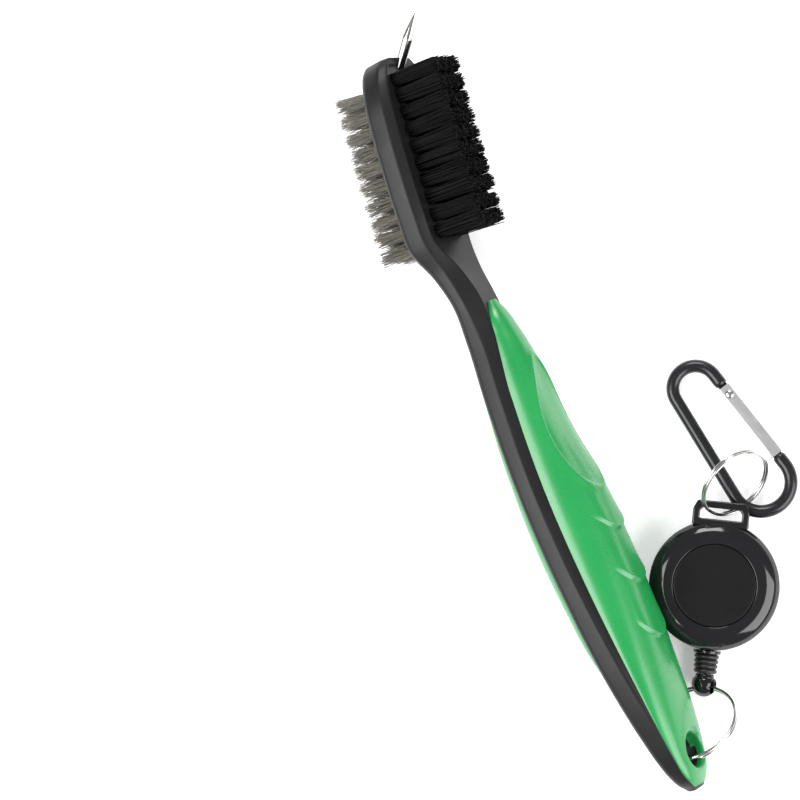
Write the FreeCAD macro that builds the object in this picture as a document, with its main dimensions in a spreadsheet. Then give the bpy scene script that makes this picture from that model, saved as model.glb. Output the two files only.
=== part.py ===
"""Club groove brush with a retractable reel, laid on a table.

A two-sided brush head (nylon tufts one side, wire tufts the other) on a long handle with green grips,
a groove spike in the head's end, and a zip-cord reel with a carabiner tied to the handle's tail.
The row frame has +Z up from the table, +Y from the brush's tail to its head, and its origin under the
middle of the whole assembly.  Sub-parts are drawn in the local frames of the brush, its head, the reel
and the carabiner, and each one gets the Placement of its frame.
"""
import FreeCAD, Part
import Sketcher
import math
import os
from FreeCAD import Placement, Rotation, Vector

DOC = FreeCAD.newDocument("groove_brush")

SIZES = {
    # handle and head
    "brush_length": 195.5,      # tail end to head end
    "head_start": 148.5,        # where the flat of the head begins
    "head_tilt": 6.8,           # the head's lean towards the nylon side, degrees
    "head_depth": 7.6,          # wire face to nylon face
    "lanyard_radius": 4.2,      # hole in the tail
    "lanyard_along": 9.6,
    "scoop_depth": 1.7,         # thumb scoop in the front grip
    "scoop_width": 12.4,
    "scoop_length": 34.0,
    "scoop_along": 96.5,
    # tufts and spike
    "tuft_radius": 1.35,
    "tuft_count": 10,
    "row_pitch": 3.4,
    "nylon_start": 3.1,         # first tuft from the head's start
    "nylon_pitch": 4.4,
    "nylon_length": 12.4,
    "wire_start": 1.2,
    "wire_pitch": 4.4,
    "wire_length": 9.3,
    "spike_radius": 1.4,
    "spike_straight": 7.8,
    "spike_cone": 6.0,
    "spike_lean": 38.0,         # from the head's axis towards the nylon side, degrees
    # split rings
    "tail_ring_mean": 11.3,
    "top_ring_mean": 9.3,
    "ring_wire": 0.4,
    # reel
    "reel_radius": 16.1,
    "reel_depth": 10.6,
    "cover_split": 6.6,         # height of the seam between the covers
    "cover_wall": 1.5,
    "bevel_inner": 12.2,        # where the front cover's bevel meets its flat ring
    "disc_radius": 10.2,
    "disc_depth": 0.9,
    "drum_radius": 7.6,
    "flange_radius": 14.0,
    "screw_radius": 1.5,
    "bail_width": 14.0,
    "bail_reach": 20.9,
    "bail_bar": 1.7,
    "bail_depth": 2.4,
    "bail_start": 13.6,         # the loop's foot, inside the cover's wall
    "bail_slot_start": 16.3,
    "lid_hole": 8.6,            # opening under the face disc
    "outlet_height": 3.6,
    "outlet_radius": 1.65,
    "bushing_tube": 1.6,
    "bushing_flange": 3.5,
    "boot_radius": 3.1,
    "boot_length": 5.0,
    "ball_radius": 3.1,
    "eye_radius": 1.45,
    "cord_radius": 0.45,
    # carabiner
    "rod_radius": 1.65,
    "top_bend": 5.7,            # centre line radius of the small bend
    "low_bend": 7.4,            # centre line radius of the large bend
    "bend_gap": 28.6,           # between the two bend centres
    "hinge_along": 6.5,         # rivet below the small bend's tangent point
    "gate_end": 25.6,
    "gate_width": 3.3,
    "rivet_radius": 0.75,
    "gate_spring_radius": 0.8,
    "gate_spring_length": 8.2,
    # how the pieces lie on the table
    "rest_roll": 27.04,         # the nylon side turned up from the table, degrees
    "rest_pitch": 0.27,         # head end raised, degrees
    "rest_height": 13.86,
    "middle_x": 17.28,          # middle of the assembly, from the brush's axis and tail
    "middle_y": 101.85,
    "reel_x": 25.0,
    "reel_y": 43.7,
    "reel_turn": 28.0,          # bail direction, clockwise from +Y, degrees
    "carabiner_x": 39.79,
    "carabiner_y": 91.0,
    "carabiner_turn": 12.0,     # small bend direction, anticlockwise from +Y, degrees
    "carabiner_z": 2.69,
    "carabiner_rise": 3.9,      # large bend raised on the ring, degrees
    "tail_ring_x": 6.93,
    "tail_ring_y": 14.54,
    "tail_ring_z": 10.66,
    "top_ring_x": 39.37,
    "top_ring_y": 65.2,
    "top_ring_z": 9.65,
}

sheet = DOC.addObject("Spreadsheet::Sheet", "sizes")
for row, (alias, number) in enumerate(SIZES.items(), start=1):
    sheet.set(f"A{row}", alias)
    sheet.set(f"B{row}", str(number))
    sheet.setAlias(f"B{row}", alias)
DOC.recompute()


def size(alias):
    """A driving dimension read back from the sheet."""
    return float(getattr(sheet, alias))


# ---------------------------------------------------------------- local frames
def turned(axis, degrees):
    return Placement(Vector(), Rotation(axis, degrees))


X_AXIS, Y_AXIS, Z_AXIS = Vector(1, 0, 0), Vector(0, 1, 0), Vector(0, 0, 1)

# brush frame: X across the handle, Y tail to head, Z towards the nylon side
TABLE = Placement(Vector(-size("middle_x"), -size("middle_y"), 0), Rotation())
BRUSH = TABLE * Placement(Vector(0, 0, size("rest_height")), Rotation()) * turned(X_AXIS, size("rest_pitch"))
BRUSH = BRUSH * turned(Y_AXIS, 90 - size("rest_roll"))
HEAD_BACK = -10.3                      # wire face at the head's start, in the brush frame
HEAD = BRUSH * Placement(Vector(0, size("head_start"), HEAD_BACK), Rotation(X_AXIS, size("head_tilt")))
REEL = TABLE * Placement(Vector(size("reel_x"), size("reel_y"), 0), Rotation(Z_AXIS, -size("reel_turn")))
CARABINER = TABLE * Placement(Vector(size("carabiner_x"), size("carabiner_y"), size("carabiner_z")),
                      Rotation(Z_AXIS, size("carabiner_turn")))
CARABINER = CARABINER * turned(X_AXIS, -size("carabiner_rise"))

# ---------------------------------------------------------------- drawing helpers
PARTS = []


def finished(feature, label, place=Placement()):
    """Name a sub-part, put it in its place and keep it for export."""
    feature.Label = label
    feature.Placement = place
    PARTS.append(feature)
    return feature


def new_body(name):
    body = DOC.addObject("PartDesign::Body", name)
    body.AllowCompound = True
    return body


def plane_of(body, role):
    return next(f for f in body.Origin.OriginFeatures if f.Role == role)


def new_sketch(body, name, role, offset=Vector()):
    sketch = body.newObject("Sketcher::SketchObject", name)
    sketch.AttachmentSupport = (plane_of(body, role), [""])
    sketch.MapMode = "FlatFace"
    sketch.AttachmentOffset = Placement(offset, Rotation())
    return sketch


def draw_polygon(sketch, points):
    corners = [Vector(a, b, 0) for a, b in points]
    for start, end in zip(corners, corners[1:] + corners[:1]):
        sketch.addGeometry(Part.LineSegment(start, end), False)


def draw_circle(sketch, x, y, radius, binding=None):
    edge = sketch.addGeometry(Part.Circle(Vector(x, y, 0), Z_AXIS, radius), False)
    dimension = sketch.addConstraint(Sketcher.Constraint("Radius", edge, radius))
    if binding:
        sketch.setExpression(f"Constraints[{dimension}]", binding)
    return edge


def pad(body, sketch, length, name, midplane=False, reverse=False):
    feature = body.newObject("PartDesign::Pad", name)
    feature.Profile = sketch
    feature.Length = 1
    feature.setExpression("Length", length)
    feature.SideType = "Symmetric" if midplane else "One side"
    feature.Reversed = reverse
    return feature


def cut_through(body, sketch, name):
    feature = body.newObject("PartDesign::Pocket", name)
    feature.Profile = sketch
    feature.Type = "ThroughAll"
    feature.SideType = "Symmetric"
    return feature


def revolved(body, points, name, role="XZ_Plane"):
    """A closed outline of (radius, height) corners turned about the body's Z axis."""
    sketch = new_sketch(body, f"{name}_outline", role)
    draw_polygon(sketch, points)
    feature = body.newObject("PartDesign::Revolution", name)
    feature.Profile = sketch
    feature.ReferenceAxis = (sketch, ["V_Axis"])
    feature.Angle = 360
    return feature


def primitive(kind, name, place=Placement(), **bindings):
    feature = DOC.addObject(f"Part::{kind}", name)
    feature.Placement = place
    for prop, expression in bindings.items():
        feature.setExpression(prop, expression)
    return feature


def boolean(kind, name, base, tool):
    feature = DOC.addObject(f"Part::{kind}", name)
    feature.Base = base
    feature.Tool = tool
    feature.Refine = False
    return feature


def loft(body, name, sections):
    """Loft closed sections, each (distance along Y, drawing function), into one solid."""
    sketches = []
    for number, (along, draw) in enumerate(sections):
        sketch = new_sketch(body, f"{name}_section_{number}", "XZ_Plane", Vector(0, 0, -along))
        draw(sketch)
        sketches.append(sketch)
    feature = body.newObject("PartDesign::AdditiveLoft", name)
    feature.Profile = sketches[0]
    feature.Sections = sketches[1:]
    return feature


# ---------------------------------------------------------------- handle and grips
HEAD_SLOPE = math.tan(math.radians(size("head_tilt")))
HEAD_RISE = size("head_depth") / math.cos(math.radians(size("head_tilt")))

TRIM = 0.15                             # stock left on the head's faces, cut flat afterwards


def head_station(along, half_width):
    """A cross-section of the head's straight block."""
    back = HEAD_BACK + (along - size("head_start")) * HEAD_SLOPE
    return along, half_width, back - TRIM, back + HEAD_RISE - 1.9, back + HEAD_RISE + TRIM, 1.8


# along, half width, back, top of the side wall, face under the grip, ledge
HANDLE = [
    (0.3, 3.0, 0.6, 3.0, 3.4, 0.3),
    (2.0, 5.0, 0.0, 3.4, 3.8, 0.3),
    (5.0, 6.9, -0.7, 3.6, 4.0, 0.3),
    (9.0, 8.4, -1.3, 3.7, 4.1, 0.3),
    (16.0, 10.0, -2.2, 3.5, 4.0, 0.4),
    (30.0, 12.0, -3.8, 2.2, 3.2, 1.2),
    (55.0, 13.4, -5.6, 0.0, 1.2, 2.4),
    (85.0, 12.3, -7.0, -1.7, 0.0, 2.4),
    (106.0, 9.7, -7.3, -1.9, 0.0, 2.4),
    (122.0, 7.7, -6.8, -1.8, 0.8, 2.6),
    (132.0, 7.2, -6.8, -2.8, 0.6, 3.0),
    (140.0, 8.2, -8.2, -3.7, -0.9, 2.8),
    head_station(148.5, 10.9),
    head_station(156.0, 12.1),
    head_station(166.0, 12.7),
    head_station(178.0, 12.6),
    head_station(187.0, 11.7),
    head_station(191.3, 10.3),
    head_station(194.2, 8.4),
    head_station(size("brush_length"), 6.9),
]
EDGE = 1.2                              # bevel on the back's edges


def draw_handle_section(station):
    _, half, back, wall, face, ledge = station
    bevel = min(EDGE, 0.3 * half)
    side = [(half - bevel, back), (half, back + bevel), (half, wall), (half - ledge, face)]
    mirrored = [(-across, height) for across, height in reversed(side)]
    return lambda sketch: draw_polygon(sketch, side + mirrored)


frame_body = new_body("handle_frame")
loft(frame_body, "frame_loft", [(station[0], draw_handle_section(station)) for station in HANDLE])
flats = new_sketch(frame_body, "head_flats_outline", "YZ_Plane")
HEAD_LENGTH = size("brush_length") - size("head_start")
for level, outwards in ((HEAD_BACK, -3.0), (HEAD_BACK + HEAD_RISE, 3.0)):
    near = (size("head_start") - 1.0, level - HEAD_SLOPE)
    far = (size("brush_length") + 1.0, level + (HEAD_LENGTH + 1.0) * HEAD_SLOPE)
    draw_polygon(flats, [near, far, (far[0], far[1] + outwards), (near[0], near[1] + outwards)])
cut_through(frame_body, flats, "head_flats")
hole_sketch = new_sketch(frame_body, "lanyard_hole_outline", "XY_Plane")
draw_circle(hole_sketch, 0, size("lanyard_along"), size("lanyard_radius"), "sizes.lanyard_radius")
cut_through(frame_body, hole_sketch, "lanyard_hole")
finished(frame_body, "handle_frame", BRUSH)


def between(stations, along, column):
    """A column of the station list, read at any distance along by straight lines between stations."""
    for low, high in zip(stations, stations[1:]):
        if low[0] <= along <= high[0]:
            share = (along - low[0]) / (high[0] - low[0])
            return low[column] + share * (high[column] - low[column])
    raise ValueError(along)


# along, crown height in the brush frame, half width as a share of the frame's face
FRONT_CROWN = [(0.9, 4.6, 0.9), (4.0, 5.7, 1.0), (9.0, 6.3, 1.0), (16.0, 7.2, 1.0), (30.0, 8.55, 1.0),
               (50.0, 9.65, 1.0), (66.0, 9.8, 1.0), (84.0, 9.1, 1.0), (100.0, 7.4, 1.0), (112.0, 6.2, 1.0),
               (121.0, 4.7, 0.85), (127.0, 3.2, 0.55), (130.0, 2.0, 0.2)]
BACK_CROWN = [(22.0, -4.4, 0.3), (27.0, -5.8, 0.7), (36.0, -7.9, 0.95), (52.0, -10.0, 1.0), (70.0, -11.2, 1.0),
              (86.0, -11.0, 1.0), (100.0, -10.0, 1.0), (110.0, -8.9, 0.9), (116.0, -8.0, 0.6),
              (119.0, -7.3, 0.25)]
SUNK = 0.9                              # how far a grip's blank starts inside the frame


def draw_grip_section(half, root, crown):
    """A flat root line closed by a smooth crown through five points."""
    rise = crown - root
    arch = [(-half, root), (-0.92 * half, root + 0.36 * rise), (-0.64 * half, root + 0.73 * rise),
            (0, crown), (0.64 * half, root + 0.73 * rise), (0.92 * half, root + 0.36 * rise), (half, root)]

    def draw(sketch):
        curve = Part.BSplineCurve()
        curve.interpolate([Vector(a, b, 0) for a, b in arch])
        sketch.addGeometry(curve, False)
        sketch.addGeometry(Part.LineSegment(Vector(half, root, 0), Vector(-half, root, 0)), False)
    return draw


def grip_blank(name, crown_points, root_column, inward, ledge_column):
    sections = []
    for along, crown, share in crown_points:
        ledge = between(HANDLE, along, ledge_column) if ledge_column else 2.0
        half = (between(HANDLE, along, 1) - ledge) * share
        root = between(HANDLE, along, root_column) + inward
        sections.append((along, draw_grip_section(half, root, crown)))
    body = new_body(name)
    loft(body, f"{name}_loft", sections)
    body.Placement = BRUSH
    return body


REACH = 30                              # further than the handle is thick


def hole_tool(name):
    tool = primitive("Cylinder", name, Radius="sizes.lanyard_radius")
    tool.Height = 2 * REACH
    tool.Placement = BRUSH * Placement(Vector(0, size("lanyard_along"), -REACH), Rotation())
    return tool


SCOOP_CROWN = 7.7                       # crown's height over the scoop's middle, in the brush frame
SCOOP_ROUND = 4.0                       # the scoop ellipsoid's half height
front_blank = grip_blank("front_grip_blank", FRONT_CROWN, 4, -SUNK, 5)
front_cut = boolean("Cut", "front_grip_seated", front_blank, frame_body)
front_holed = boolean("Cut", "front_grip_holed", front_cut, hole_tool("front_hole_tool"))
scoop = primitive("Ellipsoid", "scoop_tool", Radius2="sizes.scoop_width / 2", Radius3="sizes.scoop_length / 2")
scoop.Radius1 = SCOOP_ROUND
scoop_level = SCOOP_CROWN + SCOOP_ROUND - size("scoop_depth")
scoop.Placement = BRUSH * Placement(Vector(0, size("scoop_along"), scoop_level), Rotation())
front_grip = boolean("Cut", "front_grip", front_holed, scoop)
back_blank = grip_blank("back_grip_blank", BACK_CROWN, 2, SUNK, None)
back_grip = boolean("Cut", "back_grip", back_blank, frame_body)
for grip, label in ((front_grip, "grip_front"), (back_grip, "grip_back")):
    finished(grip, label)


# ---------------------------------------------------------------- tufts and spike
def tuft_row(kind, row, towards_nylon):
    """One row of round tufts standing on a face of the head."""
    label = f"{kind}_tufts_row_{row + 1}"
    across = (row - 1.5) * size("row_pitch")
    body = new_body(label)
    level = size("head_depth") if towards_nylon else 0.0
    sketch = new_sketch(body, f"{label}_outline", "XY_Plane", Vector(0, 0, level))
    draw_circle(sketch, across, size(f"{kind}_start"), size("tuft_radius"), "sizes.tuft_radius")
    first = pad(body, sketch, f"sizes.{kind}_length", f"{label}_tuft", reverse=not towards_nylon)
    DOC.recompute()
    pattern = body.newObject("PartDesign::LinearPattern", f"{label}_pattern")
    pattern.Originals = [first]
    pattern.Direction = (sketch, ["V_Axis"])
    pattern.setExpression("Length", f"sizes.{kind}_pitch * (sizes.tuft_count - 1)")
    pattern.setExpression("Occurrences", "sizes.tuft_count")
    body.Tip = pattern
    finished(body, label, HEAD)


for row in range(4):
    tuft_row("nylon", row, True)
    tuft_row("wire", row, False)

SPIKE_ROOT = 1.6                        # how far the pin runs into the head
spike_body = new_body("spike_blank")
spike_radius, straight = size("spike_radius"), size("spike_straight")
tip = straight + size("spike_cone")
revolved(spike_body, [(0, -SPIKE_ROOT), (spike_radius, -SPIKE_ROOT), (spike_radius, straight),
                      (0.12, tip), (0, tip)], "spike_turned")
SPIKE_INSET = 0.8                       # the pin's root from the head's end and from its face
SPIKE_ALONG = size("brush_length") - size("head_start") - SPIKE_INSET
SPIKE_LEVEL = size("head_depth") - SPIKE_INSET
SPIKE = HEAD * Placement(Vector(0, SPIKE_ALONG, SPIKE_LEVEL), Rotation(X_AXIS, size("spike_lean") - 90))
spike_body.Placement = SPIKE
spike = boolean("Cut", "groove_spike_seated", spike_body, frame_body)
finished(spike, "groove_spike")


# ---------------------------------------------------------------- split rings
def split_ring(name, label, mean, place):
    """Two turns of round wire lying on each other."""
    turns = []
    for number, side in enumerate((-1, 1), start=1):
        turn = primitive("Torus", f"{name}_turn_{number}", Radius1=mean, Radius2="sizes.ring_wire")
        turn.Placement = Placement(Vector(0, 0, side * 0.92 * size("ring_wire")), Rotation())
        turns.append(turn)
    finished(boolean("Fuse", name, *turns), label, place)


def ring_frame(name, normal):
    """A frame at a ring's centre, its Z along the ring's axis."""
    centre = Vector(size(f"{name}_x"), size(f"{name}_y"), size(f"{name}_z"))
    return TABLE * Placement(centre, Rotation(Z_AXIS, normal))


TAIL_RING = ring_frame("tail_ring", Vector(-0.078, 0.764, 0.640))
TOP_RING = ring_frame("top_ring", Vector(0.458, -1.205, 1.0))

# ---------------------------------------------------------------- reel
reel_radius, depth, split = size("reel_radius"), size("reel_depth"), size("cover_split")
inner = reel_radius - size("cover_wall")
FLOOR = 1.2
LID = 1.3
disc_level = depth - size("disc_depth")
lid_hole = size("lid_hole")

back_body = new_body("reel_back_cover")
revolved(back_body, [(size("screw_radius"), 0), (reel_radius - 1.2, 0), (reel_radius, 1.2),
                     (reel_radius, split), (inner, split), (inner, FLOOR),
                     (size("screw_radius"), FLOOR)], "back_cup")
outlet = new_sketch(back_body, "outlet_outline", "XZ_Plane", Vector(0, 0, 10))
draw_circle(outlet, 0, size("outlet_height"), size("outlet_radius"), "sizes.outlet_radius")
outlet_cut = back_body.newObject("PartDesign::Pocket", "outlet")
outlet_cut.Profile = outlet
outlet_cut.Length = 12
outlet_cut.Reversed = True
finished(back_body, "reel_back_cover", REEL)

front_body = new_body("reel_front_cover")
revolved(front_body, [(inner, split), (reel_radius, split), (reel_radius, split + 1.6),
                      (size("bevel_inner"), depth), (size("disc_radius"), depth),
                      (size("disc_radius"), disc_level), (lid_hole, disc_level), (lid_hole, disc_level - LID),
                      (inner, disc_level - LID)], "front_ring")
bail_sketch = new_sketch(front_body, "bail_outline", "XY_Plane", Vector(0, 0, split))
half_bail, reach, bar = size("bail_width") / 2, size("bail_reach"), size("bail_bar")
bail_start, slot_start = size("bail_start"), size("bail_slot_start")
BAIL_CORNER = 2.5                       # how far down the loop's sloped corners begin
draw_polygon(bail_sketch, [(-half_bail, bail_start), (half_bail, bail_start), (half_bail, reach - BAIL_CORNER),
                           (half_bail - 1, reach), (1 - half_bail, reach),
                           (-half_bail, reach - BAIL_CORNER)])
draw_polygon(bail_sketch, [(bar - half_bail, slot_start), (half_bail - bar, slot_start),
                           (half_bail - bar, reach - bar), (bar - half_bail, reach - bar)])
pad(front_body, bail_sketch, "sizes.bail_depth", "bail")
hollow = new_sketch(front_body, "hollow_outline", "XY_Plane", Vector(0, 0, split))
draw_circle(hollow, 0, 0, inner)
hollow_cut = front_body.newObject("PartDesign::Pocket", "hollow")
hollow_cut.Profile = hollow
hollow_cut.Length = disc_level - LID - split
hollow_cut.Reversed = True
finished(front_body, "reel_front_cover", REEL)

DISC_SUNK = 0.3                         # the disc's face below the lip round it
disc_body = new_body("reel_face_disc")
disc_sketch = new_sketch(disc_body, "disc_outline", "XY_Plane", Vector(0, 0, disc_level))
draw_circle(disc_sketch, 0, 0, size("disc_radius"), "sizes.disc_radius")
pad(disc_body, disc_sketch, f"sizes.disc_depth - {DISC_SUNK}", "disc")
finished(disc_body, "reel_face_disc", REEL)

screw_body = new_body("reel_screw")
screw = size("screw_radius")
revolved(screw_body, [(0, 0.3), (screw, 0.3), (screw, disc_level - 1.5), (0, disc_level - 1.5)], "screw_shank")
finished(screw_body, "reel_screw", REEL)

SPOOL_LOW, SPOOL_HIGH = FLOOR + 0.3, disc_level - LID - 0.3
drum, flange = size("drum_radius"), size("flange_radius")
CHEEK = 0.8
spool_body = new_body("spool")
revolved(spool_body, [(screw + 0.05, SPOOL_LOW), (flange, SPOOL_LOW), (flange, SPOOL_LOW + CHEEK),
                      (drum, SPOOL_LOW + CHEEK), (drum, SPOOL_HIGH - CHEEK), (flange, SPOOL_HIGH - CHEEK),
                      (flange, SPOOL_HIGH), (drum - 0.9, SPOOL_HIGH), (drum - 0.9, SPOOL_LOW + CHEEK),
                      (screw + 0.05, SPOOL_LOW + CHEEK)], "spool_turned")
finished(spool_body, "spool", REEL)

pack = flange - 1.5                     # radius of the cord wound on the drum
cord_body = new_body("wound_cord")
revolved(cord_body, [(drum, SPOOL_LOW + CHEEK), (pack, SPOOL_LOW + CHEEK),
                     (pack, SPOOL_HIGH - CHEEK), (drum, SPOOL_HIGH - CHEEK)], "cord_pack")
finished(cord_body, "wound_cord", REEL)


def spiral_band(inner_radius, outer_radius, turns, thickness, low, high):
    """A flat clock spring: a spiral of steel band, drawn as one closed outline and raised."""
    steps = 24 * turns
    spine = []
    for step in range(steps + 1):
        share = step / steps
        radius = inner_radius + (outer_radius - inner_radius) * share
        angle = 2 * math.pi * turns * share
        spine.append((radius, angle))
    near = [Vector(r * math.cos(a), r * math.sin(a), low) for r, a in spine]
    far = [Vector((r + thickness) * math.cos(a), (r + thickness) * math.sin(a), low) for r, a in spine]
    outline = []
    for points in (near, list(reversed(far))):
        curve = Part.BSplineCurve()
        curve.interpolate(points)
        outline.append(curve.toShape())
    ends = [Part.LineSegment(near[-1], far[-1]).toShape(), Part.LineSegment(far[0], near[0]).toShape()]
    wire = Part.Wire([outline[0], ends[0], outline[1], ends[1]])
    return Part.Face(wire).extrude(Vector(0, 0, high - low))


spring = DOC.addObject("Part::Feature", "reel_spring")
spring.Shape = spiral_band(screw + 0.15, drum - 1.6, 5, 0.2, SPOOL_LOW + CHEEK + 0.2, SPOOL_HIGH - 0.4)
finished(spring, "reel_spring", REEL)

# outlet bushing, strain boot, ball and cord lie on one line out of the reel's lower end
LINE = REEL * Placement(Vector(0, 0, size("outlet_height")), Rotation(X_AXIS, 90))
boot, ball, cord = size("boot_radius"), size("ball_radius"), size("cord_radius")
BUSHING_START, BUSHING_END = inner - 0.4, reel_radius + 1.0
BOOT_END = BUSHING_END + 0.1 + size("boot_length")
BALL_CENTRE = BOOT_END + ball - 0.5

tube, collar = size("bushing_tube"), size("bushing_flange")
bushing_body = new_body("outlet_bushing")
revolved(bushing_body, [(cord + 0.35, BUSHING_START), (tube, BUSHING_START), (tube, reel_radius + 0.15),
                        (collar, reel_radius + 0.15), (collar, BUSHING_END),
                        (cord + 0.35, BUSHING_END)], "bushing_turned")
finished(bushing_body, "outlet_bushing", LINE)

RIBS = 4
rib_step = size("boot_length") / RIBS
boot_outline = [(cord, BUSHING_END + 0.1)]
for rib in range(RIBS):
    start = BUSHING_END + 0.1 + rib * rib_step
    boot_outline += [(boot, start), (boot, start + 0.6 * rib_step), (boot - 0.6, start + 0.7 * rib_step),
                     (boot - 0.6, start + rib_step)]
boot_outline += [(cord, BOOT_END)]
boot_body = new_body("boot_blank")
revolved(boot_body, boot_outline, "boot_turned")
boot_seat = primitive("Sphere", "boot_seat", Placement(Vector(0, 0, BALL_CENTRE), Rotation()),
                      Radius="sizes.ball_radius")
boot_cut = boolean("Cut", "boot_seated", boot_body, boot_seat)
finished(boot_cut, "strain_boot", LINE)

KNOT = 1.0                              # radius of the knot's pocket
KNOT_LENGTH = 1.2
KNOT_START = -2.0                       # along the line, from the ball's centre
CORD_GAP = 0.4                          # from the wound cord to the free run
BALL = LINE * Placement(Vector(0, 0, BALL_CENTRE), Rotation())
towards_ball = TAIL_RING.inverse().multVec(BALL.Base)
towards_ball = Vector(towards_ball.x, towards_ball.y, 0).normalize()
along_wire = TAIL_RING.Rotation.multVec(Z_AXIS.cross(towards_ball))
eye_point = TAIL_RING.multVec(towards_ball * size("tail_ring_mean"))
EYE = Placement(eye_point, Rotation(Z_AXIS, along_wire))
ball_solid = primitive("Sphere", "ball_blank", Radius="sizes.ball_radius")
eye_tool = primitive("Cylinder", "eye_tool", Radius="sizes.eye_radius")
eye_tool.Height = 4 * ball
eye_tool.Placement = BALL.inverse() * EYE * Placement(Vector(0, 0, -2 * ball), Rotation())
knot_tool = primitive("Cylinder", "knot_tool", Radius=f"{KNOT}")
knot_tool.Height = KNOT_LENGTH
knot_tool.Placement = Placement(Vector(0, 0, KNOT_START), Rotation())
cord_tool = primitive("Cylinder", "cord_tool", Radius="sizes.cord_radius")
cord_tool.Height = 4
cord_tool.Placement = Placement(Vector(0, 0, -5.0), Rotation())
with_eye = boolean("Cut", "ball_with_eye", ball_solid, eye_tool)
with_pocket = boolean("Cut", "ball_with_pocket", with_eye, knot_tool)
finished(boolean("Cut", "ball_drilled", with_pocket, cord_tool), "pull_ball", BALL)
knot = primitive("Cylinder", "knot", Radius=f"{KNOT}")
knot.Height = KNOT_LENGTH
finished(knot, "cord_knot", BALL * Placement(Vector(0, 0, KNOT_START), Rotation()))
run = primitive("Cylinder", "cord_run", Radius="sizes.cord_radius")
run.Height = BALL_CENTRE + KNOT_START - pack - CORD_GAP
finished(run, "zip_cord", LINE * Placement(Vector(0, 0, pack + CORD_GAP), Rotation()))

# ---------------------------------------------------------------- the two split rings in place
split_ring("tail_ring", "tail_split_ring", "sizes.tail_ring_mean", TAIL_RING)
split_ring("top_ring", "top_split_ring", "sizes.top_ring_mean", TOP_RING)

# ---------------------------------------------------------------- carabiner
rod, top_bend, low_bend, gap = size("rod_radius"), size("top_bend"), size("low_bend"), size("bend_gap")
flare = math.asin((low_bend - top_bend) / gap)
DOWN = Vector(math.sin(flare), -math.cos(flare), 0)      # along the gate, small bend to large bend
SIDE = Vector(math.cos(flare), math.sin(flare), 0)       # outwards, square to the gate
LOW_CENTRE = Vector(0, -gap, 0)
gate_top = SIDE * top_bend
SHOULDER = size("hinge_along") - 3.1    # where the round rod ends above the rivet
NOSE = size("gate_end") + 0.25          # where it begins again below the gate


def along_gate(distance, sideways=0.0):
    """A point on the gate's line, measured from the small bend's tangent point."""
    return gate_top + DOWN * distance + SIDE * sideways


def bend(centre, radius, start, end):
    middle = (start + end) / 2
    points = [centre + Vector(math.cos(a), math.sin(a), 0) * radius for a in (start, middle, end)]
    return Part.Arc(*points)


rod_body = new_body("carabiner_body")
spine = new_sketch(rod_body, "rod_line", "XY_Plane")
left_top = Vector(-math.cos(flare), math.sin(flare), 0) * top_bend
left_low = LOW_CENTRE + Vector(-math.cos(flare), math.sin(flare), 0) * low_bend
right_low = LOW_CENTRE + SIDE * low_bend
spine.addGeometry(Part.LineSegment(along_gate(SHOULDER), gate_top), False)
spine.addGeometry(bend(Vector(), top_bend, flare, math.pi - flare), False)
spine.addGeometry(Part.LineSegment(left_top, left_low), False)
spine.addGeometry(bend(LOW_CENTRE, low_bend, math.pi - flare, 2 * math.pi + flare), False)
spine.addGeometry(Part.LineSegment(right_low, along_gate(NOSE)), False)
profile = rod_body.newObject("Sketcher::SketchObject", "rod_round")
profile.AttachmentSupport = (plane_of(rod_body, "XZ_Plane"), [""])
profile.MapMode = "FlatFace"
start = along_gate(SHOULDER)
square_to_gate = Rotation(Y_AXIS, math.degrees(flare))
profile.AttachmentOffset = Placement(Vector(start.x, 0, -start.y), square_to_gate)
draw_circle(profile, 0, 0, rod, "sizes.rod_radius")
pipe = rod_body.newObject("PartDesign::AdditivePipe", "rod")
pipe.Profile = profile
pipe.Spine = (spine, [f"Edge{number}" for number in range(1, 6)])

TONGUE = 1.2                            # thickness of the two tongues inside the gate
TONGUE_HALF = 1.2                       # half their width
PLAY = 0.02


def draw_strip(sketch, begin, end, half_width):
    corners = [along_gate(begin, -half_width), along_gate(end, -half_width),
               along_gate(end, half_width), along_gate(begin, half_width)]
    draw_polygon(sketch, [(corner.x, corner.y) for corner in corners])


tongues = new_sketch(rod_body, "tongue_outlines", "XY_Plane")
draw_strip(tongues, SHOULDER - 0.6, size("hinge_along") + 1.4, TONGUE_HALF)
draw_strip(tongues, size("gate_end") - 2.4, NOSE + 0.6, TONGUE_HALF)
tongue_pad = pad(rod_body, tongues, f"{TONGUE}", "tongues", midplane=True)
rivet_point = along_gate(size("hinge_along"))
rivet_outline = new_sketch(rod_body, "rivet_hole_outline", "XY_Plane")
draw_circle(rivet_outline, rivet_point.x, rivet_point.y, size("rivet_radius") + PLAY)
rivet_cut = rod_body.newObject("PartDesign::Pocket", "rivet_hole")
rivet_cut.Profile = rivet_outline
rivet_cut.Length = 2 * TONGUE
rivet_cut.SideType = "Symmetric"
finished(rod_body, "carabiner_body", CARABINER)

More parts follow.
